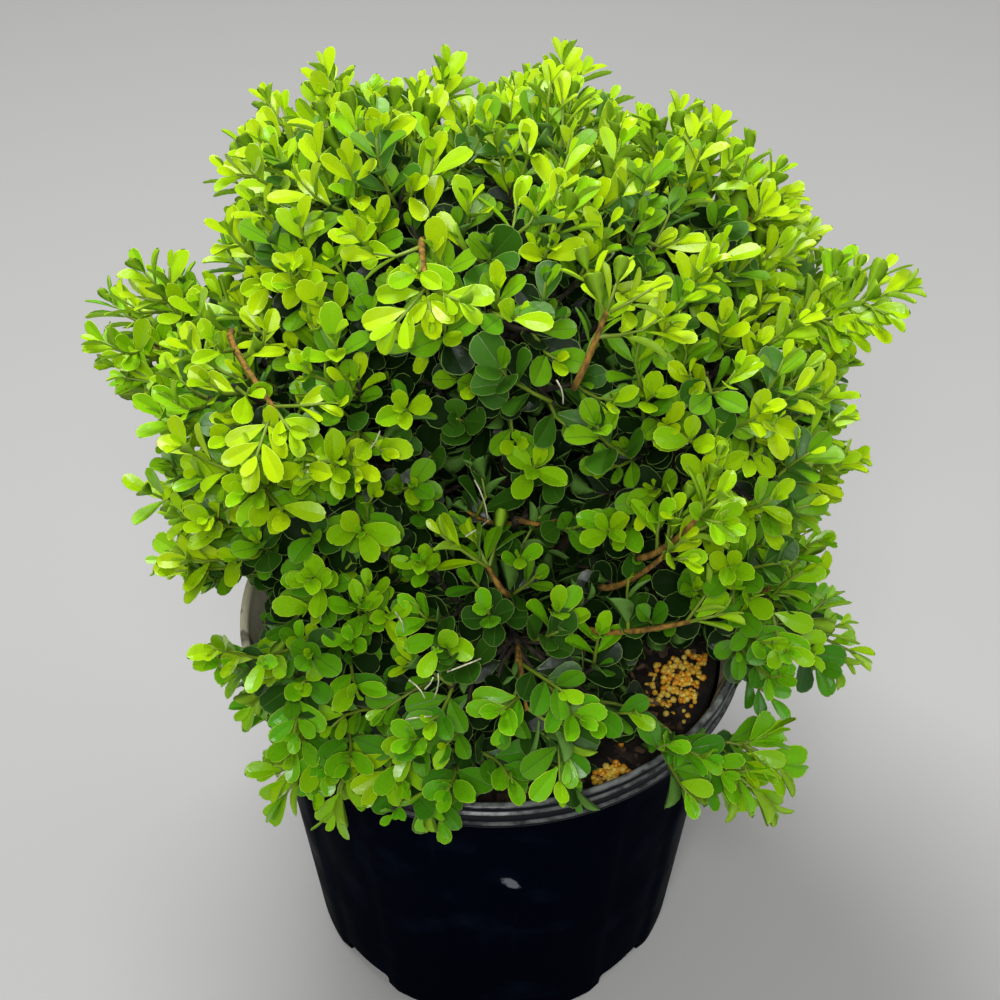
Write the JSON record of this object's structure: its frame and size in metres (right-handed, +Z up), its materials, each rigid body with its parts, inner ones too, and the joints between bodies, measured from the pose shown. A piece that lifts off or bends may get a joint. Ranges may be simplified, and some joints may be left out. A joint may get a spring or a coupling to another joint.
{
  "type": "potted boxwood shrub",
  "caption": "Young rounded evergreen shrub, dense with small oval leaves on upright stems, in a round fluted nursery pot with a rolled rim, filled with potting mix.",
  "frame": {"origin": "middle of the pot's flat underside, where it stands", "axes": "+Z up, -Y towards the side that the picture shows, +X to the right as seen from there"},
  "size_m": [0.4366, 0.3761, 0.5446],
  "materials": {
    "pot_plastic": "semi-gloss, navy-black, a little dusty and scuffed",
    "potting_mix": "rough moist bark chips",
    "bark": "rough, tan to grey-brown",
    "leaf_low": "satin leaf, mid green",
    "leaf_mid": "satin leaf, fresh green",
    "leaf_upper": "satin leaf, yellow-green",
    "leaf_top": "satin leaf, bright yellow-green"
  },
  "bodies": {
    "root": {"bough_low_back": "bark", "bough_low_back_left": "bark", "bough_low_back_right": "bark", "bough_low_front": "bark", "bough_low_left": "bark", "bough_low_left_front": "bark", "bough_low_right": "bark", "bough_low_right_front": "bark", "bough_mid_back": "bark", "bough_mid_back_left": "bark", "bough_mid_front": "bark", "bough_mid_left": "bark", "bough_mid_left_front": "bark", "bough_mid_right": "bark", "bough_mid_right_front": "bark", "bough_top_back_right": "bark", "bough_top_front": "bark", "bough_top_left": "bark", "bough_upper_back": "bark", "bough_upper_back_left": "bark", "bough_upper_front": "bark", "bough_upper_left_front": "bark", "bough_upper_right": "bark", "bough_upper_right_front": "bark", "leaves_low_back": "leaf_low", "leaves_low_back_left": "leaf_low", "leaves_low_back_right": "leaf_low", "leaves_low_front": "leaf_low", "leaves_low_left": "leaf_low", "leaves_low_left_front": "leaf_low", "leaves_low_right": "leaf_low", "leaves_low_right_front": "leaf_low", "leaves_mid_back": "leaf_mid", "leaves_mid_back_left": "leaf_mid", "leaves_mid_front": "leaf_mid", "leaves_mid_left": "leaf_mid", "leaves_mid_left_front": "leaf_mid", "leaves_mid_right": "leaf_mid", "leaves_mid_right_front": "leaf_mid", "leaves_top_back_right": "leaf_top", "leaves_top_front": "leaf_top", "leaves_top_left": "leaf_top", "leaves_upper_back": "leaf_upper", "leaves_upper_back_left": "leaf_upper", "leaves_upper_front": "leaf_upper", "leaves_upper_left_front": "leaf_upper", "leaves_upper_right": "leaf_upper", "leaves_upper_right_front": "leaf_upper", "pot": "pot_plastic", "potting_mix": "potting_mix", "stem_1": "bark", "stem_2": "bark", "stem_3": "bark", "stem_4": "bark", "stem_5": "bark", "stem_6": "bark", "stem_7": "bark", "trunk": "bark"}
  },
  "joints": []
}
